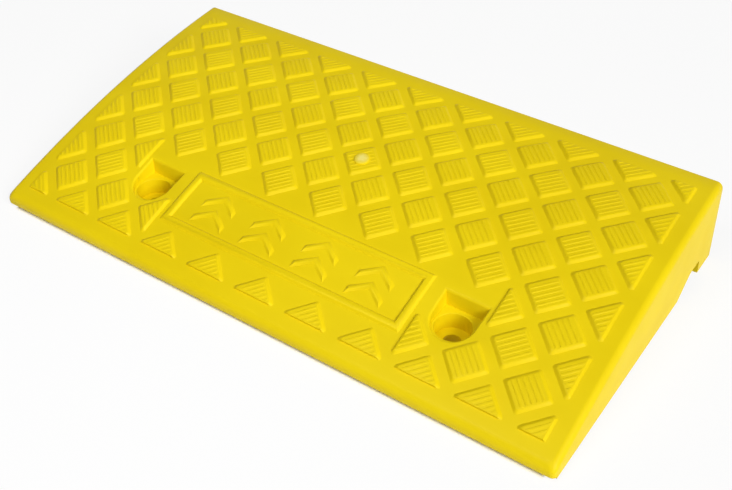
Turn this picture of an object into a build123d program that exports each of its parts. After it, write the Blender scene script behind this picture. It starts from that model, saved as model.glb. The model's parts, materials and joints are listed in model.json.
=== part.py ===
"""Kerb ramp: one moulded shell with a ribbed underside, standing on eight rubber feet.

Millimetres. X runs along the kerb, Y from the thin nose to the tall back wall, Z up.
The origin is on the ground, under the middle of the ramp.
"""
from build123d import *
import math
import os

# Overall shape
LENGTH = 500.0  # along the kerb, at the foot of the end walls
DEPTH = 262.0  # from the nose to the back wall
BACK_HEIGHT = 68.5  # deck above the ground at its back edge
NOSE_HEIGHT = 12.0  # deck above the ground at its front edge
DECK_CROWN = 9.1  # rise of the deck arc above its chord
END_DRAFT = 3.2  # outward lean of the end walls, degrees
CORNER_RADIUS = 5.0  # upright corners
EDGE_RADIUS = 4.5  # rounding all round the deck

# Walls and underside ribs
DECK_THICKNESS = 4.0
WALL_THICKNESS = 4.0
NOSE_THICKNESS = 8.0
RIB_THICKNESS = 3.0

# Tread of diamond pads
PITCH = 46.0  # lattice of the pads, both ways
TREAD_COLUMNS = 10  # pitches along X
TREAD_ROWS = 5  # pitches along Y
TREAD_SETBACK = 14.5  # from the nose to the front of the tread
PAD_HALF_DIAGONAL = 18.6
PAD_HEIGHT = 1.7
PAD_FLANK = 2.5  # plan width of a pad's sloping side
PAD_CORNER = 3.4  # rounding of a pad's corners, at the deck
OVERHANG_X = 2.35  # reach of the halved pads past the lattice, along X
OVERHANG_Y = 1.35  # reach of the halved pads past the lattice, along Y
GATE_ROW = 6  # row of the pad with the mould's gate mark, from the nose
GATE_RADIUS = 5.5
GATE_HEIGHT = 1.0  # above its pad
GATE_FLANK = 0.7
CLEAR_STEPS = (2.5, 3.5, 3.5)  # half-widths, in pitches, left bare in the rows beside the panel
RELIEF_SINK = 0.8  # how far raised shapes reach into the deck

# Raised panel frame and the arrows in it
PANEL_LENGTH = 219.0
PANEL_WIDTH = 53.0
PANEL_BAR = 7.5
PANEL_HEIGHT = 1.6
PANEL_FLANK = 2.2  # plan width of the sloping sides of the frame and arrows
ARROW_COUNT = 4
ARROW_SPACING = 48.0
ARROW_SPAN = 30.0
ARROW_RISE = 11.0
ARROW_STROKE = 7.0
ARROW_STEP = 15.0  # between the two strokes of one arrow
ARROW_HEIGHT = 1.4

# Bolt pockets
BOLT_SPACING = 276.0
BOLT_SETBACK = 60.5  # from the nose to the bolt holes
BOLT_HOLE_RADIUS = 6.5
COUNTERBORE_RADIUS = 13.5
COUNTERBORE_FLOOR = 11.5  # above the ground
POCKET_FLOOR = 25.0  # above the ground
POCKET_RADIUS = 16.0  # round front of the pocket, at its floor
POCKET_BACK = 17.8  # from the hole to the pocket's back wall, at its floor
POCKET_DRAFT = 8.0  # degrees
POCKET_WALL = 4.5

# Drain channel along the kerb, a notch in each end wall and in the ribs between them
DRAIN_FROM_BACK = 26.0  # from the back wall to the channel's upright side
DRAIN_ROOF = 18.0  # depth of its flat roof
DRAIN_SLOPE = 24.0  # depth of its sloping side
DRAIN_HEIGHT = 14.0  # above the ground
DRAIN_RADIUS = 3.0  # under its roof
DRAIN_TO_RIB = 1.5

# Rubber feet
FOOT_NAMES = ("outer_left", "inner_left", "inner_right", "outer_right")  # evenly spaced in a row
FOOT_INSET = 43.0  # from the end of the ramp to the outer feet
FOOT_RADIUS = 8.5
FOOT_THICKNESS = 3.5
FOOT_PROUD = 1.5  # below the shell
FOOT_EDGE = 0.8
STEM_RADIUS = 4.4
STEM_LENGTH = 9.0
STEM_TIP = 0.8
SOCKET_CLEARANCE = 0.1
SOCKET_SPARE_DEPTH = 1.0
RECESS_CLEARANCE = 0.5
BOSS_WALL = 2.5
GROOVE_RADIUS = 5.2  # grip ring in the sole
GROOVE_WIDTH = 1.6
GROOVE_DEPTH = 0.8

# Worked out from the sizes above
FRONT = -DEPTH / 2
BACK = DEPTH / 2
BASE = FOOT_PROUD
FAR = LENGTH + DEPTH
TREAD_FRONT = FRONT + TREAD_SETBACK
BOLT_Y = FRONT + BOLT_SETBACK
DRAIN_BACK = BACK - DRAIN_FROM_BACK
DRAIN_CREST = DRAIN_BACK - DRAIN_ROOF
DRAIN_FRONT = DRAIN_CREST - DRAIN_SLOPE
DRAIN_ROOM = DRAIN_TO_RIB + RIB_THICKNESS / 2
CHORD = math.hypot(DEPTH, BACK_HEIGHT - NOSE_HEIGHT)
CHORD_ANGLE = math.atan2(BACK_HEIGHT - NOSE_HEIGHT, DEPTH)
DECK_RADIUS = CHORD**2 / (8 * DECK_CROWN) + DECK_CROWN / 2
DECK_CENTRE_Y = (DECK_RADIUS - DECK_CROWN) * math.sin(CHORD_ANGLE)
DECK_CENTRE_Z = (BACK_HEIGHT + NOSE_HEIGHT) / 2 - (DECK_RADIUS - DECK_CROWN) * math.cos(CHORD_ANGLE)
RIB_COLUMNS = [(k - (TREAD_COLUMNS - 1) / 2) * PITCH for k in range(TREAD_COLUMNS)]
POCKET_RIBS = [BOLT_Y - PITCH / 2, BOLT_Y + PITCH / 2]
DRAIN_RIBS = [DRAIN_FRONT - DRAIN_ROOM, DRAIN_BACK + DRAIN_ROOM]
MIDDLE_RIB = (POCKET_RIBS[1] + DRAIN_RIBS[0]) / 2
RIB_ROWS = POCKET_RIBS + [MIDDLE_RIB] + DRAIN_RIBS
FOOT_REACH = LENGTH / 2 - FOOT_INSET
FOOT_STEP = 2 * FOOT_REACH / (len(FOOT_NAMES) - 1)
FOOT_ROWS = {"front": POCKET_RIBS[0], "back": (DRAIN_RIBS[1] + BACK - WALL_THICKNESS / 2) / 2}
EDGE_ROUNDING = min(EDGE_RADIUS, 0.9 * CORNER_RADIUS, 0.7 * (NOSE_HEIGHT - BASE))


def deck_height(y, below=0.0):
    """Height of the deck at y, or of the surface a given distance below it."""
    radius = DECK_RADIUS - below
    return DECK_CENTRE_Z + math.sqrt(radius**2 - (y - DECK_CENTRE_Y) ** 2)


def deck_plane(y):
    """Plane that touches the deck at y, with its x along the kerb."""
    normal = (0, y - DECK_CENTRE_Y, deck_height(y) - DECK_CENTRE_Z)
    return Plane(origin=(0, y, deck_height(y)), x_dir=(1, 0, 0), z_dir=normal)


def end_plane(side, inset):
    """Plane of an end wall, or of its inner face; side is -1 or 1."""
    lean = math.tan(math.radians(END_DRAFT))
    normal = Vector(side, -lean * (BACK_HEIGHT - NOSE_HEIGHT) / DEPTH, lean).normalized()
    corner = Vector(side * LENGTH / 2, BACK, BASE)
    return Plane(origin=corner - normal * inset, z_dir=normal)


def wedge(front, back, bottom, below, inset):
    """Solid under the deck arc, between two upright planes and the two end planes."""
    top_front = (front, deck_height(front, below))
    top_back = (back, deck_height(back, below))
    middle = (front + back) / 2
    arc = ThreePointArc(top_front, (middle, deck_height(middle, below)), top_back)
    rest = Polyline(top_back, (back, bottom), (front, bottom), top_front)
    solid = extrude(Plane.YZ * make_face(arc + rest), LENGTH, both=True)
    for side in (-1, 1):
        solid = split(solid, bisect_by=end_plane(side, inset), keep=Keep.BOTTOM)
    return solid


def rounded_block():
    """Outside of the shell, with its upright corners and deck edges rounded."""
    block = wedge(FRONT, BACK, BASE, 0.0, 0.0)
    uprights = [e for e in block.edges() if abs(e.tangent_at(0.5).Z) > 0.9]
    block = fillet(uprights, CORNER_RADIUS)
    deck = block.faces().sort_by(SortBy.AREA)[-2:].sort_by(Axis.Z)[-1]
    return fillet(deck.outer_wire().edges(), EDGE_ROUNDING)


def pocket_shape(radius, back, floor, height, draft):
    """U-shaped solid about a bolt hole: round towards the nose, straight at the back."""
    outline = [
        Line((radius, back), (-radius, back)),
        Line((-radius, back), (-radius, 0)),
        RadiusArc((-radius, 0), (radius, 0), -radius),
        Line((radius, 0), (radius, back)),
    ]
    return Pos(0, 0, floor) * extrude(make_face(Curve() + outline), height, taper=-draft)


def bolt_places():
    """Centres of the two bolt holes on the ground."""
    return [Pos(side * BOLT_SPACING / 2, BOLT_Y, 0) for side in (-1, 1)]


def foot_places():
    """Name and centre of every rubber foot on the ground."""
    places = {}
    for row, y in FOOT_ROWS.items():
        for k, name in enumerate(FOOT_NAMES):
            places[f"foot_{row}_{name}"] = Pos(k * FOOT_STEP - FOOT_REACH, y, 0)
    return places


def upright(radius, bottom, top):
    """Cylinder about Z between two heights."""
    return Pos(0, 0, bottom) * extrude(Circle(radius), top - bottom)


def hollow():
    """Cells under the deck: the inside of the shell less its ribs, pocket cups and foot bosses."""
    inside = wedge(FRONT + NOSE_THICKNESS, BACK - WALL_THICKNESS, -BASE, DECK_THICKNESS, WALL_THICKNESS)
    ribs = [Pos(x, 0, 0) * Box(RIB_THICKNESS, FAR, FAR) for x in RIB_COLUMNS]
    ribs += [Pos(0, y, 0) * Box(FAR, RIB_THICKNESS, FAR) for y in RIB_ROWS]
    depth = deck_height(BOLT_Y + POCKET_BACK) - POCKET_FLOOR
    spread = depth * math.tan(math.radians(POCKET_DRAFT))
    cup = pocket_shape(
        POCKET_RADIUS + spread + POCKET_WALL,
        POCKET_BACK + spread + POCKET_WALL,
        POCKET_FLOOR - POCKET_WALL,
        BACK_HEIGHT,
        0.0,
    )
    boss = upright(COUNTERBORE_RADIUS + POCKET_WALL, -BASE, POCKET_FLOOR)
    cups = [place * (cup + boss) for place in bolt_places()]
    foot_boss = upright(FOOT_RADIUS + RECESS_CLEARANCE + BOSS_WALL, -BASE, BACK_HEIGHT)
    bosses = [place * foot_boss for place in foot_places().values()]
    return inside - (ribs + cups + bosses)


def pad_corners(keep_x, keep_y):
    """Corners of a diamond pad, or of the half or quarter on the kept side of its middle."""
    reach = PAD_HALF_DIAGONAL
    cut_x = -keep_x * OVERHANG_X
    cut_y = -keep_y * OVERHANG_Y
    wide = reach + OVERHANG_Y
    deep = reach + OVERHANG_X
    if keep_x and keep_y:
        return [(cut_x, cut_y), (keep_x * wide, cut_y), (cut_x, keep_y * deep)]
    if keep_x:
        return [(keep_x * reach, 0), (cut_x, deep), (cut_x, -deep)]
    if keep_y:
        return [(0, keep_y * reach), (wide, cut_y), (-wide, cut_y)]
    return [(reach, 0), (0, reach), (-reach, 0), (0, -reach)]


def raised(outline, height, flank):
    """Relief with sloping sides on the plane z = 0, reaching a little below it."""
    spread = RELIEF_SINK * flank / height
    face = offset(outline, spread, kind=Kind.INTERSECTION)
    taper = math.degrees(math.atan2(flank, height))
    return Pos(0, 0, -RELIEF_SINK) * extrude(face, height + RELIEF_SINK, taper=taper)


def raised_pad(keep_x, keep_y):
    """One pad about the origin, whole or cut."""
    outline = make_face(Polyline(*pad_corners(keep_x, keep_y), close=True))
    return raised(fillet(outline.vertices(), PAD_CORNER), PAD_HEIGHT, PAD_FLANK)


def row_plane(row):
    """Plane on the deck along a row of pads, counted from the nose."""
    return deck_plane(TREAD_FRONT + row * PITCH / 2)


def tread_pads():
    """Every pad of the tread, row by row from the nose."""
    middle = TREAD_COLUMNS / 2
    kinds = {}
    pads = []
    for row in range(2 * TREAD_ROWS + 1):
        keep_y = (row == 0) - (row == 2 * TREAD_ROWS)
        clear = CLEAR_STEPS[row - 1] if 1 <= row <= len(CLEAR_STEPS) else 0
        count = TREAD_COLUMNS + 1 - row % 2
        for k in range(count):
            step = k + (row % 2) / 2 - middle
            if clear and abs(step) < clear:
                continue
            keep_x = (step == -middle) - (step == middle)
            if clear and abs(step) == clear:
                keep_x = math.copysign(1, step)
            kind = (keep_x, keep_y)
            if kind not in kinds:
                kinds[kind] = raised_pad(*kind)
            pads.append(row_plane(row) * Pos(step * PITCH, 0, 0) * kinds[kind])
    return pads


def gate_mark():
    """Round stub on one pad, where the plastic entered the mould."""
    return row_plane(GATE_ROW) * raised(Circle(GATE_RADIUS), PAD_HEIGHT + GATE_HEIGHT, GATE_FLANK)


def panel_relief():
    """Raised frame between the bolt pockets, with double arrows that point up the slope."""
    plane = deck_plane(BOLT_Y)
    frame = Rectangle(PANEL_LENGTH, PANEL_WIDTH)
    frame -= Rectangle(PANEL_LENGTH - 2 * PANEL_BAR, PANEL_WIDTH - 2 * PANEL_BAR)
    relief = [plane * raised(frame, PANEL_HEIGHT, PANEL_FLANK)]
    half = ARROW_SPAN / 2
    arrow = make_face(
        Polyline(
            (-half, -ARROW_RISE),
            (0, 0),
            (half, -ARROW_RISE),
            (half, -ARROW_RISE - ARROW_STROKE),
            (0, -ARROW_STROKE),
            (-half, -ARROW_RISE - ARROW_STROKE),
            close=True,
        )
    )
    stroke = raised(arrow, ARROW_HEIGHT, min(PANEL_FLANK, 0.35 * ARROW_STROKE))
    lift = (ARROW_RISE + ARROW_STROKE) / 2
    for k in range(ARROW_COUNT):
        x = (k - (ARROW_COUNT - 1) / 2) * ARROW_SPACING
        for shift in (-ARROW_STEP / 2, ARROW_STEP / 2):
            relief.append(plane * Pos(x, lift + shift, 0) * stroke)
    return relief


def pocket_cut():
    """Pocket, counterbore and through hole of one bolt."""
    pocket = pocket_shape(POCKET_RADIUS, POCKET_BACK, POCKET_FLOOR, BACK_HEIGHT, POCKET_DRAFT)
    bore = upright(COUNTERBORE_RADIUS, COUNTERBORE_FLOOR, POCKET_FLOOR + POCKET_WALL)
    hole = upright(BOLT_HOLE_RADIUS, -BASE, POCKET_FLOOR)
    return pocket + bore + hole


def drain_cut():
    """Channel from end to end, with a sloping side towards the nose."""
    corners = [
        (DRAIN_FRONT, 0),
        (DRAIN_CREST, DRAIN_HEIGHT),
        (DRAIN_BACK, DRAIN_HEIGHT),
        (DRAIN_BACK, 0),
    ]
    face = make_face(Polyline(*corners, close=True))
    face = fillet(face.vertices().group_by(Axis.Y)[-1], DRAIN_RADIUS)
    return extrude(Plane.YZ * face, LENGTH, both=True)


def foot_cut():
    """Recess and stem socket of one rubber foot."""
    recess = upright(FOOT_RADIUS + RECESS_CLEARANCE, -BASE, FOOT_THICKNESS)
    depth = FOOT_THICKNESS + STEM_LENGTH + SOCKET_SPARE_DEPTH
    return recess + upright(STEM_RADIUS + SOCKET_CLEARANCE, -BASE, depth)


def ramp_body():
    """The whole moulding."""
    body = rounded_block() - hollow()
    body = body + (tread_pads() + panel_relief() + [gate_mark()])
    cuts = [place * pocket_cut() for place in bolt_places()]
    cuts += [place * foot_cut() for place in foot_places().values()]
    return body - (cuts + [drain_cut()])


def rubber_foot():
    """Round rubber foot with a stem, its sole on the ground."""
    sole = upright(FOOT_RADIUS, 0.0, FOOT_THICKNESS)
    sole = fillet(sole.edges().group_by(Axis.Z)[0], FOOT_EDGE)
    groove = upright(GROOVE_RADIUS + GROOVE_WIDTH / 2, 0.0, GROOVE_DEPTH)
    groove -= upright(GROOVE_RADIUS - GROOVE_WIDTH / 2, 0.0, GROOVE_DEPTH)
    top = FOOT_THICKNESS + STEM_LENGTH
    stem = upright(STEM_RADIUS, FOOT_THICKNESS, top)
    stem = chamfer(stem.edges().group_by(Axis.Z)[-1], STEM_TIP)
    return sole - groove + stem


def main():
    os.makedirs("parts", exist_ok=True)
    export_step(ramp_body(), "parts/ramp_body.step")
    foot = rubber_foot()
    for name, place in foot_places().items():
        export_step(place * foot, f"parts/{name}.step")


main()
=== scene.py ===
"""Kerb ramp: a moulded shell with a diamond tread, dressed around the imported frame."""
import json
import math

import bmesh
import bpy
from bpy.props import FloatProperty, FloatVectorProperty, IntProperty, PointerProperty
from mathutils import Matrix, Vector


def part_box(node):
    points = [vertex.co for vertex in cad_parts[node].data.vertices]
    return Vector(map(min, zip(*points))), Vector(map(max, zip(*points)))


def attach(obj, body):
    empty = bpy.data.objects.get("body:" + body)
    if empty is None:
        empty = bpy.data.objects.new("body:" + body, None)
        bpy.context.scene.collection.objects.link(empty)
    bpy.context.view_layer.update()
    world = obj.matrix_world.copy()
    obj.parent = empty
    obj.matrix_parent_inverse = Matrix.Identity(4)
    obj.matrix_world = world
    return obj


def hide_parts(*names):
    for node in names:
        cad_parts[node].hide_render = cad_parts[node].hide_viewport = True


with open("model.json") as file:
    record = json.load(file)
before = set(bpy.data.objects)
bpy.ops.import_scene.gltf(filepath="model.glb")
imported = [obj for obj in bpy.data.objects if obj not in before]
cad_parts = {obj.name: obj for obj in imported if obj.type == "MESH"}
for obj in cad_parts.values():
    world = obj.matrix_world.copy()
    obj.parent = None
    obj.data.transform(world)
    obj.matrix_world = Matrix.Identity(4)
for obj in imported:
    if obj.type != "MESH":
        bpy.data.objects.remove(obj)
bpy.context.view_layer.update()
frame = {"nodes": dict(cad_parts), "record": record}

bl_info = {
    "name": "Kerb Ramp",
    "version": (1, 0, 0),
    "blender": (4, 5, 0),
    "location": "View3D > Sidebar > Kerb Ramp",
    "description": "Models the shell, tread, panel, underside and feet of a kerb ramp on its packed frame",
    "category": "Object",
}

BODY_LOW, BODY_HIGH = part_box("ramp_body")
MM = 0.001
FEET = sorted(node for node in frame["nodes"] if node.startswith("foot_"))
ANCHORS = next(m for m in frame["record"]["mounts"] if m["name"] == "anchor_holes")
ANCHOR_Y = ANCHORS["pos_m"][1]
ANCHOR_X = ANCHORS["dims"]["spacing_x_mm"] * MM / 2
HOLE_RADIUS = ANCHORS["dims"]["hole_r_mm"] * MM
FRONT = BODY_LOW[1]
BACK = BODY_HIGH[1]
BASE = BODY_LOW[2]
BARE_ROWS = {1: 2.5, 2: 3.5, 3: 3.5}  # half-widths, in pitches, left bare beside the panel
SINK = 0.3 * MM  # reach of the raised shapes into the deck
HAIR = 0.01 * MM  # finer than any edge of the ramp
NEAR = 0.1 * MM  # nearer than any two levels of the ramp
LEVEL = 0.9  # least upright part of a level face's normal
STEEP = 0.5  # most upright part of a steep face's normal
SMOOTH_ANGLE = math.radians(32)  # edges that bend less are shaded smooth
SHARP_ANGLE = math.radians(40)  # edges that bend more are rounded
SPECULAR = 0.12  # specular level of the plastic
CAMERA_PLACE = (0.36872, -0.51398, 0.51771)
CAMERA_RIGHT = Vector((0.8262, 0.5634, 0))
CAMERA_UP = Vector((-0.3636, 0.5332, 0.7638))
CAMERA_LENS = 50.38  # in millimetres
CAMERA_SENSOR = 36  # width in millimetres


def length(label, millimetres, description):
    """A length property, given in millimetres and kept in metres."""
    return FloatProperty(
        name=label, description=description, default=millimetres * MM, unit="LENGTH", precision=5
    )


def angle(label, degrees, description):
    """An angle property, given in degrees and kept in radians."""
    return FloatProperty(
        name=label, description=description, default=math.radians(degrees), unit="ROTATION", subtype="ANGLE"
    )


def colour(label, value, description):
    """A linear colour property."""
    return FloatVectorProperty(
        name=label, description=description, default=value, size=4, min=0.0, max=1.0, subtype="COLOR"
    )


class ShellSizes(bpy.types.PropertyGroup):
    """Outside of the moulding."""

    length: length("Length", 500, "Along the kerb, at the foot of the end walls")
    back_height: length("Back height", 68.5, "Deck above the ground at its back edge")
    nose_height: length("Nose height", 12, "Deck above the ground at its front edge")
    crown: length("Crown", 9.1, "Rise of the deck arc above its chord")
    end_draft: angle("End draft", 3.2, "Inward lean of the end walls, from the foot up")
    corner_radius: length("Corner radius", 3.5, "Rounding of the upright front corners")
    edge_radius: length("Edge radius", 5, "Rounding of the deck's front and end edges")
    back_radius: length("Back radius", 0.8, "Rounding of the back wall's edges")
    foot_radius: length("Foot radius", 3.6, "Rounding of the nose's lower edge")
    skin: length("Skin", 4, "Thickness of the deck and walls")


class TreadSizes(bpy.types.PropertyGroup):
    """Lattice of diamond pads."""

    pitch: length("Pitch", 46, "Lattice of the pads, both ways")
    columns: IntProperty(name="Columns", description="Pitches along the kerb", default=10, min=1)
    rows: IntProperty(name="Rows", description="Pitches up the slope", default=5, min=1)
    setback: length("Setback", 14.5, "From the nose to the front of the tread")
    half_diagonal: length("Half diagonal", 18.6, "From a pad's middle to its corner, at the deck")
    height: length("Height", 1.7, "Pad above the deck")
    flank: length("Flank", 2.5, "Plan width of a pad's sloping side")
    corner: length("Corner", 1.8, "Rounding of a pad's corners")
    side_lean: angle("Side lean", 50, "Lean of the halved pads' faces along the ends of the tread")
    end_lean: angle("End lean", 14, "Lean of the halved pads' faces along the nose and the back")
    past_sides: length("Past the sides", 2.35, "Reach of the halved pads past the lattice, along the kerb")
    past_ends: length("Past the ends", 1.35, "Reach of the halved pads past the lattice, up the slope")
    border: length("Border", 0.4, "Plain margin round a pad's ribs")
    rib_count: IntProperty(name="Ribs", description="Fine ribs across a pad", default=5, min=1)
    rib_pitch: length("Rib pitch", 3.75, "Between two fine ribs")
    rib_width: length("Rib width", 2.0, "Foot of a fine rib")
    rib_height: length("Rib height", 0.25, "Fine rib above the pad")
    gate_row: IntProperty(
        name="Gate row", description="Row of the pad with the gate mark", default=6, min=0
    )
    gate_radius: length("Gate radius", 6.2, "Foot of the gate mark")
    gate_height: length("Gate height", 1.3, "Gate mark above its pad")
    gate_edge: length("Gate edge", 0.9, "Rounding of the gate mark's top")


class PanelSizes(bpy.types.PropertyGroup):
    """Raised frame between the anchor pockets, and the arrows in it."""

    frame_length: length("Frame length", 219, "Along the kerb")
    frame_width: length("Frame width", 53, "Up the slope")
    bar: length("Bar", 7.5, "Width of the frame's bars, at the deck")
    height: length("Frame height", 1.6, "Frame above the deck")
    arrow_count: IntProperty(name="Arrows", description="Double arrows in the frame", default=4, min=1)
    arrow_spacing: length("Arrow spacing", 48, "From one arrow to the next")
    arrow_span: length("Arrow span", 30, "Width of an arrow")
    arrow_rise: length("Arrow rise", 11, "From an arrow's arms to its point")
    arrow_stroke: length("Arrow stroke", 7, "Width of an arrow's arms, up the slope")
    arrow_step: length("Arrow step", 15, "Between the two strokes of an arrow")
    arrow_height: length("Arrow height", 1.4, "Arrow above the deck")
    flank: length("Flank", 2.2, "Plan width of the raised shapes' sloping sides")


class PocketSizes(bpy.types.PropertyGroup):
    """Recess over each anchor bolt."""

    floor: length("Floor", 25, "Pocket floor above the ground")
    radius: length("Radius", 15.5, "Round front of the pocket, at its floor")
    back: length("Back", 17.3, "From the hole to the pocket's back wall, at its floor")
    draft: angle("Draft", 8, "Lean of the pocket's walls")
    bore_radius: length("Counterbore radius", 13.5, "Seat of the washer")
    bore_floor: length("Counterbore floor", 11.5, "Seat of the washer above the ground")
    rim: length("Rim", 1.8, "Rounding of the pocket's rim")
    bore_rim: length("Counterbore rim", 0.45, "Rounding of the counterbore's rim")


class UndersideSizes(bpy.types.PropertyGroup):
    """Ribs, bosses, drain channel and feet."""

    rib: length("Rib", 3, "Thickness of the underside ribs")
    rib_edge: length("Rib edge", 0.4, "Rounding of the ribs' lower edges")
    drain_from_back: length("Drain from back", 26, "From the back wall to the drain channel's upright side")
    drain_roof: length("Drain roof", 18, "Depth of the drain channel's flat roof")
    drain_slope: length("Drain slope", 24, "Depth of the drain channel's sloping side")
    drain_height: length("Drain height", 14, "Drain channel's roof above the ground")
    drain_radius: length("Drain radius", 3, "Rounding under the drain channel's roof")
    drain_to_rib: length("Drain to rib", 1.5, "From the drain channel to the ribs beside it")
    boss_wall: length("Boss wall", 2.5, "Plastic round a foot's recess")
    recess_clearance: length("Recess clearance", 0.5, "Between a foot and its recess")
    foot_seat: length("Foot seat", 3.5, "Thickness of a foot below its stem")
    foot_edge: length("Foot edge", 0.36, "Rounding of a foot's sole")
    stem_radius: length("Stem radius", 4.4, "Press-in stem of a foot")
    groove_radius: length("Groove radius", 5.2, "Grip ring in a foot's sole")
    groove_width: length("Groove width", 1.6, "Width of the grip ring")
    groove_depth: length("Groove depth", 0.8, "Depth of the grip ring")


class Finishes(bpy.types.PropertyGroup):
    """Colours of the moulding, the rubber and the stage."""

    yellow: colour("Yellow", (0.79, 0.60, 0.003, 1), "Moulded plastic, coloured through")
    yellow_deep: colour("Deep yellow", (0.75, 0.56, 0.002, 1), "Flow marks in the plastic")
    yellow_pale: colour("Pale yellow", (0.86, 0.74, 0.18, 1), "Torn plastic of the gate mark")
    rubber: colour("Rubber", (0.018, 0.018, 0.019, 1), "Feet")
    dust: colour("Dust", (0.0468, 0.0468, 0.0494, 1), "Dusty patches on the feet")
    floor: colour("Floor", (0.93, 0.93, 0.93, 1), "Studio floor")


class KerbRamp(bpy.types.PropertyGroup):
    """Everything that can be set on the ramp."""

    shell: PointerProperty(type=ShellSizes)
    tread: PointerProperty(type=TreadSizes)
    panel: PointerProperty(type=PanelSizes)
    pocket: PointerProperty(type=PocketSizes)
    under: PointerProperty(type=UndersideSizes)
    finish: PointerProperty(type=Finishes)


class Deck:
    """The deck arc and its chord, as the shell's sizes give them."""

    def __init__(self, shell):
        rise = shell.back_height - shell.nose_height
        run = BACK - FRONT
        lean = math.atan2(rise, run)
        self.slope = rise / run
        self.middle = (shell.back_height + shell.nose_height) / 2
        self.radius = (run**2 + rise**2) / (8 * shell.crown) + shell.crown / 2
        self.centre_y = (self.radius - shell.crown) * math.sin(lean)
        self.centre_z = self.middle - (self.radius - shell.crown) * math.cos(lean)

    def chord(self, y):
        """Height of the chord at y."""
        return self.middle + self.slope * y

    def height(self, y):
        """Height of the deck at y."""
        return self.centre_z + math.sqrt(self.radius**2 - (y - self.centre_y) ** 2)

    def normal(self, y):
        """Direction square to the deck at y."""
        return Vector((0, y - self.centre_y, self.height(y) - self.centre_z)).normalized()

    def plane(self, x, y):
        """Matrix that lays a flat shape on the deck at (x, y)."""
        up = self.normal(y)
        along = Vector((1, 0, 0))
        turn = Matrix((along, up.cross(along), up)).transposed().to_4x4()
        return Matrix.Translation((x, y, self.height(y))) @ turn


def settings():
    """The ramp's properties on the open scene."""
    return bpy.context.scene.kerb_ramp


def activate(obj):
    """Selects one object alone and makes it the active one."""
    bpy.ops.object.select_all(action="DESELECT")
    obj.select_set(True)
    bpy.context.view_layer.objects.active = obj


def start_edit(obj):
    """Opens one object in edit mode with everything in it selected."""
    activate(obj)
    bpy.ops.object.mode_set(mode="EDIT")
    bpy.ops.mesh.select_all(action="SELECT")


def end_edit():
    """Goes back to object mode."""
    bpy.ops.object.mode_set(mode="OBJECT")


def pick(kind, test):
    """Selects in edit mode just the shown vertices, edges or faces for which the test holds."""
    bpy.ops.mesh.select_mode(type=kind)
    bpy.ops.mesh.select_all(action="DESELECT")
    data = bpy.context.edit_object.data
    mesh = bmesh.from_edit_mesh(data)
    mesh.normal_update()
    for item in {"VERT": mesh.verts, "EDGE": mesh.edges, "FACE": mesh.faces}[kind]:
        if not item.hide and test(item):
            item.select_set(True)
    mesh.select_flush_mode()
    bmesh.update_edit_mesh(data)


def cut(point, normal, fill=False, clear=False):
    """Bisects all that is shown, and clears what lies in front of the plane if asked."""
    bpy.ops.mesh.select_all(action="SELECT")
    bpy.ops.mesh.bisect(plane_co=point, plane_no=normal, use_fill=fill, clear_outer=clear)


def close_open_edges():
    """Fills the one open loop of a mesh in edit mode."""
    pick("EDGE", lambda edge: edge.is_boundary)
    bpy.ops.mesh.edge_face_add()


def middle_of(item):
    """Middle of an edge or a face."""
    if isinstance(item, bmesh.types.BMFace):
        return item.calc_center_median()
    return (item.verts[0].co + item.verts[1].co) / 2


def finish_modifier(obj, kind, **values):
    """Adds one modifier with these values and applies it."""
    activate(obj)
    modifier = obj.modifiers.new(kind.title(), kind)
    for name, value in values.items():
        setattr(modifier, name, value)
    bpy.ops.object.modifier_apply(modifier=modifier.name)


def cut_away(obj, tool):
    """Takes the tool's shape out of the object, and deletes the tool."""
    finish_modifier(obj, "BOOLEAN", operation="DIFFERENCE", solver="EXACT", object=tool)
    bpy.data.objects.remove(tool)


def round_edges(obj, width, segments):
    """Rounds every sharp edge of an object."""
    finish_modifier(
        obj, "BEVEL", width=width, segments=segments, limit_method="ANGLE", angle_limit=SHARP_ANGLE
    )


def raise_softly(height, flank):
    """Raises the selected faces with sides that are flat at their foot and at their top."""
    rings = 3
    swell = [share**2 * (3 - 2 * share) for share in (k / rings for k in range(rings + 1))]
    for low, high in zip(swell, swell[1:]):
        bpy.ops.mesh.inset(thickness=flank / rings, depth=(high - low) * height)


def lay_on_deck(obj, deck):
    """Bends a flat piece about the origin to the deck's arc."""
    for vertex in obj.data.vertices:
        vertex.co.z -= vertex.co.y**2 / (2 * deck.radius)


def new_piece(name):
    """Names the object that was just added, with its place moved into its mesh."""
    obj = bpy.context.object
    obj.name = name
    obj.data.name = name
    bpy.ops.object.transform_apply(location=True, rotation=True, scale=True)
    return obj


def add_block(name, low, high):
    """A block between two corners, as the start of a piece."""
    low = Vector(low)
    high = Vector(high)
    bpy.ops.object.select_all(action="DESELECT")
    bpy.ops.mesh.primitive_cube_add(size=1, location=(low + high) / 2, scale=high - low)
    return new_piece(name)


def add_round(name, radius, bottom, top, place=(0, 0), sides=64):
    """An upright cylinder, as the start of a piece."""
    bpy.ops.object.select_all(action="DESELECT")
    bpy.ops.mesh.primitive_cylinder_add(
        vertices=sides, radius=radius, depth=top - bottom, location=(*place, (top + bottom) / 2)
    )
    return new_piece(name)


def add_plane(name, wide, deep, z):
    """A flat rectangle about the origin, as the start of a raised shape."""
    bpy.ops.object.select_all(action="DESELECT")
    bpy.ops.mesh.primitive_plane_add(size=1, location=(0, 0, z))
    bpy.context.object.scale = (wide, deep, 1)
    return new_piece(name)


def join(name, objects):
    """Joins objects into one, under a new name."""
    bpy.ops.object.select_all(action="DESELECT")
    for obj in objects:
        obj.select_set(True)
    bpy.context.view_layer.objects.active = objects[0]
    bpy.ops.object.join()
    objects[0].name = name
    objects[0].data.name = name
    return objects[0]


def copy_to(obj, matrix):
    """A copy with its own mesh, placed by a matrix."""
    twin = obj.copy()
    twin.data = obj.data.copy()
    twin.data.transform(matrix)
    bpy.context.scene.collection.objects.link(twin)
    return twin


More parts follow.
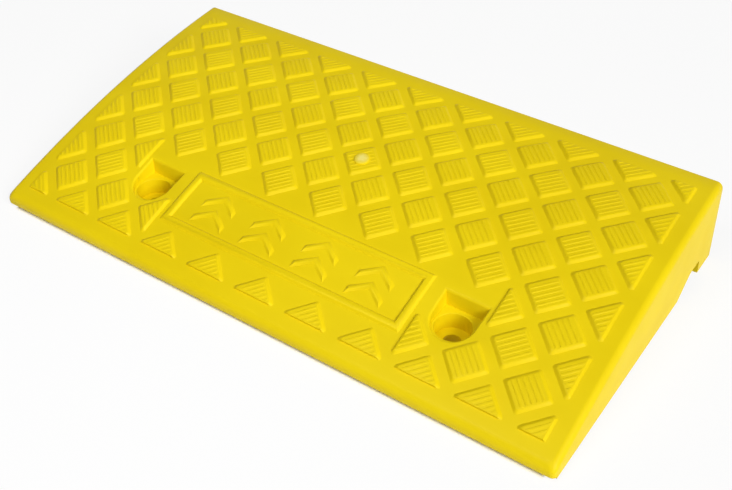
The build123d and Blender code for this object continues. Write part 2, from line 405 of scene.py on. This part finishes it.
def complete(obj, material):
    """Gives a modelled piece its shading and material, and puts it on the frame."""
    activate(obj)
    bpy.ops.object.shade_smooth_by_angle(angle=SMOOTH_ANGLE)
    obj.data.materials.clear()
    obj.data.materials.append(material)
    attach(obj, "root")


def new_material(name):
    """A node material, with its nodes and links."""
    material = bpy.data.materials.new(name)
    material.use_nodes = True
    return material, material.node_tree.nodes, material.node_tree.links


def noise(nodes, links, coords, scale, detail, stretch=None):
    """A noise texture on object coordinates, stretched if asked."""
    source = coords.outputs["Object"]
    if stretch:
        mapping = nodes.new("ShaderNodeMapping")
        mapping.inputs["Scale"].default_value = stretch
        links.new(source, mapping.inputs["Vector"])
        source = mapping.outputs["Vector"]
    texture = nodes.new("ShaderNodeTexNoise")
    texture.inputs["Scale"].default_value = scale
    texture.inputs["Detail"].default_value = detail
    links.new(source, texture.inputs["Vector"])
    return texture.outputs["Fac"]


def colour_ramp(nodes, links, source, stops):
    """A colour ramp from two pairs of place and colour."""
    node = nodes.new("ShaderNodeValToRGB")
    for element, (place, shade) in zip(node.color_ramp.elements, stops):
        element.position = place
        element.color = shade
    links.new(source, node.inputs["Fac"])
    return node.outputs["Color"]


def spread(nodes, links, source, low, high):
    """Maps a zero to one value onto a range."""
    node = nodes.new("ShaderNodeMapRange")
    node.inputs["To Min"].default_value = low
    node.inputs["To Max"].default_value = high
    links.new(source, node.inputs["Value"])
    return node.outputs["Result"]


def roughen(nodes, links, coords, scale, strength, depth):
    """A fine grain on the shader's normal."""
    bump = nodes.new("ShaderNodeBump")
    bump.inputs["Strength"].default_value = strength
    bump.inputs["Distance"].default_value = depth
    links.new(noise(nodes, links, coords, scale, detail=2.0), bump.inputs["Height"])
    links.new(bump.outputs["Normal"], nodes["Principled BSDF"].inputs["Normal"])


def yellow_plastic():
    """Satin moulded plastic: faint flow marks, uneven gloss and a fine grain."""
    known = bpy.data.materials.get("yellow_moulded_plastic")
    if known:
        return known
    finish = settings().finish
    material, nodes, links = new_material("yellow_moulded_plastic")
    shader = nodes["Principled BSDF"]
    coords = nodes.new("ShaderNodeTexCoord")
    flow = noise(nodes, links, coords, scale=9.0, detail=4.0, stretch=(1.0, 2.2, 2.2))
    links.new(
        colour_ramp(nodes, links, flow, [(0.35, finish.yellow_deep), (0.62, finish.yellow)]),
        shader.inputs["Base Color"],
    )
    gloss = noise(nodes, links, coords, scale=60.0, detail=5.0)
    links.new(spread(nodes, links, gloss, low=0.4, high=0.52), shader.inputs["Roughness"])
    shader.inputs["Specular IOR Level"].default_value = SPECULAR
    roughen(nodes, links, coords, scale=1400.0, strength=0.12, depth=0.15 * MM)
    return material


def round_spot(nodes, links, coords, middle, reach):
    """Falls from one at the middle of a round spot to nothing at its reach."""
    place = nodes.new("ShaderNodeMapping")
    place.vector_type = "TEXTURE"
    place.inputs["Location"].default_value = middle
    place.inputs["Scale"].default_value = (reach, reach, reach)
    links.new(coords.outputs["Object"], place.inputs["Vector"])
    spot = nodes.new("ShaderNodeTexGradient")
    spot.gradient_type = "SPHERICAL"
    links.new(place.outputs["Vector"], spot.inputs["Vector"])
    return spot.outputs["Fac"]


def torn_plastic(middle, reach):
    """The same plastic where it broke off at the gate: pale, patchy and dull in the middle."""
    finish = settings().finish
    material, nodes, links = new_material("yellow_torn_plastic")
    shader = nodes["Principled BSDF"]
    coords = nodes.new("ShaderNodeTexCoord")
    patches = noise(nodes, links, coords, scale=420.0, detail=4.0)
    faded = nodes.new("ShaderNodeMath")
    faded.operation = "MULTIPLY"
    links.new(patches, faded.inputs[0])
    links.new(round_spot(nodes, links, coords, middle, reach), faded.inputs[1])
    stops = [(0.0, finish.yellow), (0.34, finish.yellow_pale)]
    links.new(colour_ramp(nodes, links, faded.outputs["Value"], stops), shader.inputs["Base Color"])
    links.new(spread(nodes, links, patches, low=0.5, high=0.75), shader.inputs["Roughness"])
    shader.inputs["Specular IOR Level"].default_value = SPECULAR
    roughen(nodes, links, coords, scale=900.0, strength=0.3, depth=0.3 * MM)
    return material


def black_rubber():
    """Matte rubber with dusty patches."""
    known = bpy.data.materials.get("black_foot_rubber")
    if known:
        return known
    finish = settings().finish
    material, nodes, links = new_material("black_foot_rubber")
    shader = nodes["Principled BSDF"]
    coords = nodes.new("ShaderNodeTexCoord")
    dust = noise(nodes, links, coords, scale=300.0, detail=4.0)
    stops = [(0.4, finish.rubber), (0.75, finish.dust)]
    links.new(colour_ramp(nodes, links, dust, stops), shader.inputs["Base Color"])
    links.new(spread(nodes, links, dust, low=0.6, high=0.85), shader.inputs["Roughness"])
    roughen(nodes, links, coords, scale=2600.0, strength=0.25, depth=0.1 * MM)
    return material


def drain_sides():
    """Where the drain channel's front and back sides meet the ground."""
    under = settings().under
    back = BACK - under.drain_from_back
    return back - under.drain_roof - under.drain_slope, back


def drain_tool(reach):
    """The drain channel's notch as a long prism along the kerb, with a sloping front side."""
    under = settings().under
    front, back = drain_sides()
    tool = add_block("drain_tool", (-reach, front, 0), (reach, back, under.drain_height))
    start_edit(tool)
    pick("VERT", lambda v: v.co.z > BASE and v.co.y < back - MM)
    bpy.ops.transform.translate(value=(0, under.drain_slope, 0))
    pick("EDGE", lambda e: abs(e.verts[0].co.x - e.verts[1].co.x) > reach and middle_of(e).z > BASE)
    bpy.ops.mesh.bevel(offset=under.drain_radius, segments=6, affect="EDGES")
    end_edit()
    return tool


class KERBRAMP_OT_shell(bpy.types.Operator):
    """Model the moulded shell with its rounded edges, anchor pockets and drain notches"""

    bl_idname = "kerb_ramp.shell"
    bl_label = "Shell"

    def execute(self, context):
        self.ramp = settings()
        self.deck = Deck(self.ramp.shell)
        shell = self.round_block()
        for side in (-1, 1):
            for tool in self.pocket_tools(side * ANCHOR_X):
                cut_away(shell, tool)
        self.hollow(shell)
        cut_away(shell, drain_tool(self.ramp.shell.length))
        self.round_nose(shell)
        self.soften_rims(shell)
        complete(shell, yellow_plastic())
        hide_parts("ramp_body")
        return {"FINISHED"}

    def round_block(self):
        """Wedge with leaning ends, rounded corners and a crowned deck."""
        sizes = self.ramp.shell
        half = sizes.length / 2
        block = add_block("ramp_shell", (-half, FRONT, BASE), (half, BACK, sizes.back_height + sizes.crown))
        start_edit(block)
        cut((0, 0, self.deck.middle), (0, -self.deck.slope, 1), fill=True, clear=True)
        lean = math.tan(sizes.end_draft)
        for side in (-1, 1):
            cut((side * half, BACK, BASE), (side, -lean * self.deck.slope, lean), fill=True, clear=True)
        pick("EDGE", lambda e: self.on_deck(e) and not self.on_back(e))
        bpy.ops.mesh.bevel(offset=sizes.edge_radius, segments=8, affect="EDGES")
        pick("EDGE", self.on_corner)
        bpy.ops.mesh.bevel(offset=sizes.corner_radius, segments=5, affect="EDGES")
        pick("EDGE", lambda e: self.on_back(e) and middle_of(e).z > BASE + MM)
        bpy.ops.mesh.bevel(offset=sizes.back_radius, segments=2, affect="EDGES")
        for y in self.strips():
            cut((0, y, 0), (0, 1, 0))
        for side in (-1, 1):
            cut((side * ANCHOR_X, 0, 0), (1, 0, 0))
        end_edit()
        for vertex in block.data.vertices:
            if vertex.co.z > BASE + MM:
                vertex.co.z += self.deck.height(vertex.co.y) - self.deck.chord(vertex.co.y)
        return block

    def on_deck(self, edge):
        """True on the outline of the deck."""
        return any(face.normal.z > STEEP for face in edge.link_faces)

    def on_back(self, edge):
        """True on the outline of the back wall."""
        return all(vertex.co.y > BACK - HAIR for vertex in edge.verts)

    def on_corner(self, edge):
        """True on a front corner and on the crease above it, where two roundings meet."""
        spot = middle_of(edge)
        room = 2 * self.ramp.shell.edge_radius
        near = abs(spot.x) > self.ramp.shell.length / 2 - room and spot.y < FRONT + room
        crease = math.radians(14)
        return near and spot.z > BASE + MM and edge.calc_face_angle(0) > crease

    def strips(self):
        """Places along Y where the deck is divided so that it can follow its arc."""
        band = self.ramp.panel.frame_width / 2
        margin = 2 * self.ramp.shell.edge_radius
        first = ANCHOR_Y - band
        last = ANCHOR_Y + band
        count = 16
        places = [FRONT + margin, (FRONT + margin + first) / 2, first, ANCHOR_Y]
        return places + [last + k * (BACK - margin - last) / count for k in range(count + 1)]

    def pocket_tools(self, x):
        """Tools that cut a pocket with its drafted walls, its counterbore and its hole."""
        sizes = self.ramp.pocket
        top = self.ramp.shell.back_height
        flare = (top - sizes.floor) * math.tan(sizes.draft)
        radius = sizes.radius + flare
        bpy.ops.object.select_all(action="DESELECT")
        bpy.ops.mesh.primitive_circle_add(
            vertices=64, radius=radius, fill_type="NGON", location=(x, ANCHOR_Y, top)
        )
        pocket = new_piece("pocket_tool")
        start_edit(pocket)
        cut((0, ANCHOR_Y, 0), (0, 1, 0), clear=True)
        pick("EDGE", lambda e: all(abs(v.co.y - ANCHOR_Y) < HAIR for v in e.verts))
        bpy.ops.mesh.extrude_region_move(TRANSFORM_OT_translate={"value": (0, sizes.back + flare, 0)})
        bpy.ops.mesh.select_all(action="SELECT")
        bpy.ops.mesh.dissolve_faces()
        bpy.ops.mesh.inset(thickness=flare, depth=sizes.floor - top)
        close_open_edges()
        bpy.ops.mesh.select_all(action="SELECT")
        bpy.ops.mesh.normals_make_consistent(inside=False)
        end_edit()
        place = (x, ANCHOR_Y)
        bore_top = sizes.floor + 2 * MM
        bore = add_round("bore_tool", sizes.bore_radius, sizes.bore_floor, bore_top, place)
        hole = add_round("hole_tool", HOLE_RADIUS, -BASE, sizes.floor, place, sides=48)
        return pocket, bore, hole

    def hollow(self, shell):
        """Opens the bottom and gives the skin its thickness."""
        start_edit(shell)
        pick("FACE", lambda face: face.normal.z < -LEVEL and middle_of(face).z < BASE + NEAR)
        bpy.ops.mesh.delete(type="FACE")
        end_edit()
        finish_modifier(
            shell, "SOLIDIFY", thickness=self.ramp.shell.skin, offset=-1, use_even_offset=True, use_rim=True
        )

    def round_nose(self, shell):
        """Rounds the nose's lower edge: its wall is cut into strips, which are drawn in."""
        sizes = self.ramp.shell
        radius = sizes.foot_radius
        strips = 6
        start_edit(shell)
        for k in range(strips):
            drop = radius * math.sin(k * math.pi / 2 / strips)
            cut((0, 0, BASE + radius - drop), (0, 0, 1))
        bpy.ops.mesh.select_all(action="SELECT")
        bpy.ops.mesh.dissolve_degenerate(threshold=HAIR)
        end_edit()
        for vertex in shell.data.vertices:
            drop = BASE + radius - vertex.co.z
            if drop > 0 and vertex.co.y < FRONT + sizes.corner_radius + NEAR:
                vertex.co.y += radius - math.sqrt(radius**2 - min(drop, radius) ** 2)

    def soften_rims(self, shell):
        """Rounds the rims of the pockets and counterbores."""
        sizes = self.ramp.pocket
        flat = 0.85  # the deck leans, so this is less than for a level face
        start_edit(shell)

        def rim(edge):
            """True where a flat face by a pocket turns down into a steep one."""
            if len(edge.link_faces) != 2:
                return False
            spot = middle_of(edge)
            near = min(math.hypot(spot.x - side * ANCHOR_X, spot.y - ANCHOR_Y) for side in (-1, 1))
            ups = sorted(face.normal.z for face in edge.link_faces)
            return near < 2 * sizes.radius and ups[0] < STEEP and ups[1] > flat and edge.is_convex

        pick("EDGE", lambda e: rim(e) and middle_of(e).z > sizes.floor + MM)
        bpy.ops.mesh.bevel(offset=sizes.rim, segments=5, affect="EDGES")
        pick("EDGE", lambda e: rim(e) and abs(middle_of(e).z - sizes.floor) < NEAR)
        bpy.ops.mesh.bevel(offset=sizes.bore_rim, segments=3, affect="EDGES")
        end_edit()


class KERBRAMP_OT_tread(bpy.types.Operator):
    """Model the diamond pads with their fine ribs and the gate mark, and lay them on the deck"""

    bl_idname = "kerb_ramp.tread"
    bl_label = "Tread pads"

    def execute(self, context):
        self.sizes = settings().tread
        deck = Deck(settings().shell)
        patterns = {}
        pads = []
        for x, y, kind in self.lattice():
            if kind not in patterns:
                patterns[kind] = self.model_pad(*kind)
            pads.append(copy_to(patterns[kind], deck.plane(x, y)))
        for pattern in patterns.values():
            bpy.data.objects.remove(pattern)
        complete(join("tread_pads", pads), yellow_plastic())
        mark = self.gate_mark()
        seat = deck.plane(0, self.row_place(self.sizes.gate_row))
        mark.data.transform(seat)
        top = seat @ Vector((0, 0, self.sizes.height + self.sizes.gate_height))
        complete(mark, torn_plastic(top, self.sizes.gate_radius))
        return {"FINISHED"}

    def row_place(self, row):
        """Y of a row of pads, counted from the nose."""
        return FRONT + self.sizes.setback + row * self.sizes.pitch / 2

    def gate_mark(self):
        """The round stub where the plastic entered the mould, a little domed."""
        sizes = self.sizes
        mark = add_round("gate_mark", sizes.gate_radius, 0, sizes.height + sizes.gate_height, sides=40)
        start_edit(mark)
        pick("FACE", lambda face: face.normal.z > LEVEL)
        dome = sizes.gate_height / 8
        bpy.ops.mesh.inset(thickness=sizes.gate_radius / 2, depth=dome)
        pick(
            "EDGE",
            lambda e: min(v.co.z for v in e.verts) > sizes.height and e.calc_face_angle(0) > SHARP_ANGLE,
        )
        bpy.ops.mesh.bevel(offset=sizes.gate_edge, segments=3, affect="EDGES")
        end_edit()
        return mark

    def lattice(self):
        """Place and kind of every pad: the sides kept along X and Y, and the lean of its ribs."""
        sizes = self.sizes
        middle = sizes.columns / 2
        for row in range(2 * sizes.rows + 1):
            y = self.row_place(row)
            keep_y = (row == 0) - (row == 2 * sizes.rows)
            clear = BARE_ROWS.get(row, 0)
            for k in range(sizes.columns + 1 - row % 2):
                step = k + (row % 2) / 2 - middle
                if clear and abs(step) < clear:
                    continue
                keep_x = (step == -middle) - (step == middle)
                lean = -1 if row % 2 else 1
                if clear and abs(step) == clear:
                    keep_x = 1 if step > 0 else -1
                    lean = keep_x
                elif keep_x:
                    lean = -keep_x
                yield step * sizes.pitch, y, (keep_x, keep_y, lean)

    def model_pad(self, keep_x, keep_y, lean):
        """One pad at the origin, bent to the deck, with its ribs along one diagonal."""
        sizes = self.sizes
        reach = sizes.half_diagonal / math.sqrt(2)
        pad = add_plane("pad_pattern", 4 * reach, 4 * reach, -SINK)
        start_edit(pad)
        for way in self.sides():
            cut(way * reach, way, clear=True)
        bpy.ops.mesh.select_all(action="SELECT")
        bpy.ops.mesh.extrude_region_move(TRANSFORM_OT_translate={"value": (0, 0, SINK)})
        raise_softly(sizes.height, sizes.flank)
        pick("EDGE", self.on_hip)
        bpy.ops.mesh.bevel(offset=sizes.corner, segments=3, affect="EDGES")
        for way, past, lean_back in (
            (Vector((-keep_x, 0, 0)), sizes.past_sides, sizes.side_lean),
            (Vector((0, -keep_y, 0)), sizes.past_ends, sizes.end_lean),
        ):
            if way.length:
                cut(way * past, way + Vector((0, 0, math.tan(lean_back))), fill=True, clear=True)
        pick("FACE", lambda f: f.normal.z > LEVEL and middle_of(f).z > sizes.height - HAIR)
        bpy.ops.mesh.inset(thickness=sizes.border)
        self.raise_ribs(Vector((1, -lean, 0)).normalized())
        end_edit()
        lay_on_deck(pad, Deck(settings().shell))
        return pad

    def on_hip(self, edge):
        """True where two sides of a pad meet."""
        return abs(edge.verts[0].co.z - edge.verts[1].co.z) > HAIR

    def sides(self):
        """Directions of a diamond's four sides."""
        for x in (-1, 1):
            for y in (-1, 1):
                yield Vector((x, y, 0)).normalized()

    def raise_ribs(self, across):
        """Divides the selected face into strips and raises every other one."""
        sizes = self.sizes
        bpy.ops.mesh.hide(unselected=True)
        centres = [(k - (sizes.rib_count - 1) / 2) * sizes.rib_pitch for k in range(sizes.rib_count)]
        for centre in centres:
            for edge in (-1, 1):
                cut(across * (centre + edge * sizes.rib_width / 2), across)
        least = sizes.rib_width**2
        slope = sizes.rib_width / 5

        def on_rib(face):
            """True on a strip that is a rib and has room for its sloping sides."""
            offset = middle_of(face).dot(across)
            return face.calc_area() > least and any(abs(offset - c) < sizes.rib_width / 2 for c in centres)

        pick("FACE", on_rib)
        bpy.ops.mesh.inset(thickness=slope, depth=sizes.rib_height, use_individual=True)
        bpy.ops.mesh.reveal(select=False)


class KERBRAMP_OT_panel(bpy.types.Operator):
    """Model the raised frame between the pockets and the double arrows in it"""

    bl_idname = "kerb_ramp.panel"
    bl_label = "Panel"

    def execute(self, context):
        self.sizes = settings().panel
        deck = Deck(settings().shell)
        bezel = self.model_frame()
        lay_on_deck(bezel, deck)
        bezel.data.transform(deck.plane(0, ANCHOR_Y))
        complete(bezel, yellow_plastic())
        pattern = self.model_arrow()
        sizes = self.sizes
        arrows = []
        lift = -sizes.arrow_rise / 2
        for k in range(sizes.arrow_count):
            x = (k - (sizes.arrow_count - 1) / 2) * sizes.arrow_spacing
            for side in (-1, 1):
                stroke = copy_to(pattern, Matrix.Translation((x, lift + side * sizes.arrow_step / 2, 0)))
                lay_on_deck(stroke, deck)
                arrows.append(stroke)
        bpy.data.objects.remove(pattern)
        strokes = join("panel_arrows", arrows)
        strokes.data.transform(deck.plane(0, ANCHOR_Y))
        complete(strokes, yellow_plastic())
        return {"FINISHED"}

    def raise_all(self, height):
        """Lifts all faces to the deck with a hidden wall, and raises them above it."""
        bpy.ops.mesh.select_all(action="SELECT")
        bpy.ops.mesh.extrude_region_move(TRANSFORM_OT_translate={"value": (0, 0, SINK)})
        raise_softly(height, self.sizes.flank)
        bpy.ops.mesh.select_all(action="SELECT")
        bpy.ops.mesh.normals_make_consistent(inside=False)

    def model_frame(self):
        """Rectangular ring about the origin."""
        sizes = self.sizes
        bezel = add_plane("panel_frame", sizes.frame_length, sizes.frame_width, -SINK)
        start_edit(bezel)
        bpy.ops.mesh.inset(thickness=sizes.bar)
        bpy.ops.mesh.delete(type="FACE")
        cut((0, 0, 0), (0, 1, 0))
        self.raise_all(sizes.height)
        end_edit()
        return bezel

    def model_arrow(self):
        """One stroke of an arrow, its point up the slope, about the origin."""
        sizes = self.sizes
        arrow = add_plane("arrow_pattern", sizes.arrow_span, sizes.arrow_stroke, -SINK)
        start_edit(arrow)
        cut((0, 0, 0), (1, 0, 0))
        pick("VERT", lambda v: abs(v.co.x) < HAIR)
        bpy.ops.transform.translate(value=(0, sizes.arrow_rise, 0))
        self.raise_all(sizes.arrow_height)
        end_edit()
        return arrow


class KERBRAMP_OT_underside(bpy.types.Operator):
    """Model the rib grid and the foot bosses under the deck"""

    bl_idname = "kerb_ramp.underside"
    bl_label = "Underside"

    def execute(self, context):
        self.ramp = settings()
        self.deck = Deck(self.ramp.shell)
        self.inside = self.ramp.shell.skin / 2
        ribs = self.lengthwise_ribs() + self.crosswise_ribs()
        complete(join("underside_ribs", ribs), yellow_plastic())
        bosses = [self.foot_boss(node) for node in FEET]
        complete(join("foot_bosses", bosses), yellow_plastic())
        return {"FINISHED"}

    def crosswise_ribs(self):
        """Upright plates from the nose to the back wall, with the drain channel's notch."""
        tread = self.ramp.tread
        half = self.ramp.under.rib / 2
        low = (-half, FRONT + self.inside, BASE)
        high = (half, BACK - self.inside, self.ramp.shell.back_height)
        pattern = add_block("rib_pattern", low, high)
        start_edit(pattern)
        count = 24
        for k in range(1, count):
            cut((0, FRONT + k * (BACK - FRONT) / count, 0), (0, 1, 0))
        end_edit()
        for vertex in pattern.data.vertices:
            if vertex.co.z > BASE + MM:
                vertex.co.z = self.deck.height(vertex.co.y) - self.inside
        cut_away(pattern, drain_tool(self.ramp.under.rib))
        round_edges(pattern, self.ramp.under.rib_edge, segments=2)
        places = [(k - (tread.columns - 1) / 2) * tread.pitch for k in range(tread.columns)]
        ribs = [copy_to(pattern, Matrix.Translation((x, 0, 0))) for x in places]
        bpy.data.objects.remove(pattern)
        return ribs

    def lengthwise_ribs(self):
        """Upright plates that end inside the leaning end walls."""
        under = self.ramp.under
        pitch = self.ramp.tread.pitch
        front, back = drain_sides()
        room = under.drain_to_rib + under.rib / 2
        beside = [ANCHOR_Y - pitch / 2, ANCHOR_Y + pitch / 2, front - room, back + room]
        half = self.ramp.shell.length / 2 - self.inside
        lean = math.tan(self.ramp.shell.end_draft)
        ribs = []
        for y in beside + [(beside[1] + beside[2]) / 2]:
            top = self.deck.height(y) - self.inside
            rib = add_block("rib", (-half, y - under.rib / 2, BASE), (half, y + under.rib / 2, top))
            start_edit(rib)
            foot = half - lean * self.deck.slope * (BACK - y)
            for side in (-1, 1):
                cut((side * foot, y, BASE), (side, 0, lean), fill=True, clear=True)
            end_edit()
            round_edges(rib, under.rib_edge, segments=2)
            ribs.append(rib)
        return ribs

    def foot_boss(self, node):
        """Boss that reaches up into the deck, with a recess for its foot."""
        under = self.ramp.under
        low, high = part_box(node)
        x = (low[0] + high[0]) / 2
        y = (low[1] + high[1]) / 2
        recess = (high[0] - low[0]) / 2 + under.recess_clearance
        boss = add_round("boss", recess + under.boss_wall, BASE, self.ramp.shell.back_height, (x, y))
        start_edit(boss)
        up = self.deck.normal(y)
        cut(self.deck.plane(x, y).translation - up * self.inside, up, fill=True, clear=True)
        pick("FACE", lambda face: face.normal.z < -LEVEL)
        bpy.ops.mesh.inset(thickness=under.boss_wall)
        bpy.ops.mesh.extrude_region_move(TRANSFORM_OT_translate={"value": (0, 0, under.foot_seat - BASE)})
        end_edit()
        return boss


class KERBRAMP_OT_feet(bpy.types.Operator):
    """Model a rubber foot with a grip ring in its sole, and copy it to every foot of the frame"""

    bl_idname = "kerb_ramp.feet"
    bl_label = "Rubber feet"

    def execute(self, context):
        under = settings().under
        low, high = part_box(FEET[0])
        radius = (high[0] - low[0]) / 2
        pattern = self.model_foot(under, radius, high[2])
        for node in FEET:
            low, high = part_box(node)
            middle = ((low[0] + high[0]) / 2, (low[1] + high[1]) / 2, 0)
            foot = copy_to(pattern, Matrix.Translation(middle))
            foot.name = f"rubber_{node}"
            foot.data.name = foot.name
            complete(foot, black_rubber())
            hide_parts(node)
        bpy.data.objects.remove(pattern)
        return {"FINISHED"}

    def model_foot(self, under, radius, top):
        """A disc with a rounded sole, a grip ring and a press-in stem, about the origin."""
        foot = add_round("foot_pattern", radius, 0, under.foot_seat)
        start_edit(foot)
        pick("FACE", lambda face: face.normal.z > LEVEL)
        bpy.ops.mesh.inset(thickness=radius - under.stem_radius)
        bpy.ops.mesh.extrude_region_move(TRANSFORM_OT_translate={"value": (0, 0, top - under.foot_seat)})
        pick("FACE", lambda face: face.normal.z < -LEVEL)
        bpy.ops.mesh.inset(thickness=radius - under.groove_radius - under.groove_width / 2)
        bpy.ops.mesh.inset(thickness=under.groove_width)
        pick(
            "FACE",
            lambda f: f.normal.z < -LEVEL
            and abs(math.hypot(*middle_of(f).xy) - under.groove_radius) < under.groove_width / 2
            and len(f.verts) == 4,
        )
        bpy.ops.mesh.extrude_region_move(TRANSFORM_OT_translate={"value": (0, 0, under.groove_depth)})
        end_edit()
        round_edges(foot, under.foot_edge, segments=3)
        return foot


class KERBRAMP_OT_stage(bpy.types.Operator):
    """Set up the plain floor, the soft lights and the camera"""

    bl_idname = "kerb_ramp.stage"
    bl_label = "Stage"

    def execute(self, context):
        self.floor()
        self.lights()
        self.camera()
        context.scene.view_settings.view_transform = "Standard"
        return {"FINISHED"}

    def floor(self):
        """A wide pale floor."""
        bpy.ops.object.select_all(action="DESELECT")
        bpy.ops.mesh.primitive_plane_add(size=12, location=(0, 0, 0))
        floor = new_piece("studio_floor")
        material, nodes, links = new_material("studio_floor")
        lit = nodes["Principled BSDF"]
        lit.inputs["Base Color"].default_value = settings().finish.floor
        lit.inputs["Roughness"].default_value = 0.9
        white = nodes.new("ShaderNodeEmission")
        blend = nodes.new("ShaderNodeMixShader")
        fade = nodes.new("ShaderNodeMath")
        fade.operation = "MULTIPLY"
        links.new(self.seen(nodes, links), fade.inputs[0])
        links.new(self.open_ground(nodes, links), fade.inputs[1])
        links.new(fade.outputs["Value"], blend.inputs["Fac"])
        links.new(lit.outputs["BSDF"], blend.inputs[1])
        links.new(white.outputs["Emission"], blend.inputs[2])
        links.new(blend.outputs["Shader"], nodes["Material Output"].inputs["Surface"])
        floor.data.materials.append(material)

    def open_ground(self, nodes, links):
        """How much painted white glow the floor shows: nearly full in the open, and nothing under the ramp,
        so that the floor's rendered shade shows there.
        """
        # the ends are left out of the covered ground, so that painted white glow hides the shade seen
        # through the drain notches
        covered = (0.955 * BODY_HIGH[0], BODY_HIGH[1], 1)  # half sides of the ground under the ramp
        fade_start = 0.998  # in these half sides
        fade_end = 1.006
        whiteness = 0.85
        coords = nodes.new("ShaderNodeTexCoord")
        shape = nodes.new("ShaderNodeMapping")
        shape.vector_type = "TEXTURE"
        shape.inputs["Scale"].default_value = covered
        links.new(coords.outputs["Object"], shape.inputs["Vector"])
        reach = nodes.new("ShaderNodeVectorMath")
        reach.operation = "ABSOLUTE"
        links.new(shape.outputs["Vector"], reach.inputs[0])
        sides = nodes.new("ShaderNodeSeparateXYZ")
        links.new(reach.outputs["Vector"], sides.inputs["Vector"])
        further = nodes.new("ShaderNodeMath")
        further.operation = "MAXIMUM"
        links.new(sides.outputs["X"], further.inputs[0])
        links.new(sides.outputs["Y"], further.inputs[1])
        share = nodes.new("ShaderNodeMapRange")
        share.inputs["From Min"].default_value = fade_start
        share.inputs["From Max"].default_value = fade_end
        share.inputs["To Max"].default_value = whiteness
        links.new(further.outputs["Value"], share.inputs["Value"])
        return share.outputs["Result"]

    def seen(self, nodes, links):
        """One on rays that come from the camera, a reflection or glass, nothing on the rest."""
        path = nodes.new("ShaderNodeLightPath")
        total = path.outputs["Is Camera Ray"]
        for kind in ("Is Glossy Ray", "Is Transmission Ray"):
            add = nodes.new("ShaderNodeMath")
            add.operation = "MAXIMUM"
            links.new(total, add.inputs[0])
            links.new(path.outputs[kind], add.inputs[1])
            total = add.outputs["Value"]
        return total

    def lights(self):
        """A white surround that gives weak light, a broad key from the right, and two weak fills."""
        world = bpy.data.worlds.new("studio")
        world.use_nodes = True
        nodes = world.node_tree.nodes
        links = world.node_tree.links
        background = nodes["Background"]
        background.inputs["Color"].default_value = (1, 1, 1, 1)
        strength = spread(nodes, links, self.seen(nodes, links), low=0.08, high=1)
        links.new(strength, background.inputs["Strength"])
        bpy.context.scene.world = world
        self.area("key", distance=14.0, bearing=-19, height=34, power=1900, size=6.3)
        self.area("front", distance=0.75, bearing=-85, height=63, power=1.85, size=0.3)
        self.area("back", distance=3.0, bearing=90, height=40, power=2.0, size=0.9)

    def area(self, name, distance, bearing, height, power, size):
        """A square soft light aimed at the ramp, placed by two angles in degrees."""
        flat = distance * math.cos(math.radians(height))
        turn = math.radians(bearing)
        place = (flat * math.cos(turn), flat * math.sin(turn), distance * math.sin(math.radians(height)))
        bpy.ops.object.select_all(action="DESELECT")
        bpy.ops.object.light_add(type="AREA", location=place)
        lamp = bpy.context.object
        lamp.name = name
        lamp.data.size = size
        lamp.data.energy = power
        lamp.rotation_euler = Vector(place).to_track_quat("Z", "Y").to_euler()

    def camera(self):
        """Camera at the photograph's viewing angle."""
        bpy.ops.object.select_all(action="DESELECT")
        bpy.ops.object.camera_add(location=CAMERA_PLACE)
        camera = bpy.context.object
        away = CAMERA_RIGHT.cross(CAMERA_UP)
        camera.rotation_euler = Matrix((CAMERA_RIGHT, CAMERA_UP, away)).transposed().to_euler()
        camera.data.sensor_width = CAMERA_SENSOR
        camera.data.lens = CAMERA_LENS
        bpy.context.scene.camera = camera


class KERBRAMP_PT_panel(bpy.types.Panel):
    """Steps that build the kerb ramp"""

    bl_label = "Kerb Ramp"
    bl_idname = "KERBRAMP_PT_panel"
    bl_space_type = "VIEW_3D"
    bl_region_type = "UI"
    bl_category = "Kerb Ramp"

    def draw(self, context):
        for step in STEPS:
            self.layout.operator(step.bl_idname)


STEPS = (
    KERBRAMP_OT_shell,
    KERBRAMP_OT_tread,
    KERBRAMP_OT_panel,
    KERBRAMP_OT_underside,
    KERBRAMP_OT_feet,
    KERBRAMP_OT_stage,
)
CLASSES = (
    ShellSizes,
    TreadSizes,
    PanelSizes,
    PocketSizes,
    UndersideSizes,
    Finishes,
    KerbRamp,
    *STEPS,
    KERBRAMP_PT_panel,
)


def register():
    for cls in CLASSES:
        bpy.utils.register_class(cls)
    bpy.types.Scene.kerb_ramp = PointerProperty(type=KerbRamp)


def unregister():
    del bpy.types.Scene.kerb_ramp
    for cls in reversed(CLASSES):
        bpy.utils.unregister_class(cls)


def main():
    """Builds the whole scene."""
    register()
    bpy.ops.kerb_ramp.shell()
    bpy.ops.kerb_ramp.tread()
    bpy.ops.kerb_ramp.panel()
    bpy.ops.kerb_ramp.underside()
    bpy.ops.kerb_ramp.feet()
    bpy.ops.kerb_ramp.stage()


if __name__ == "__main__":
    main()
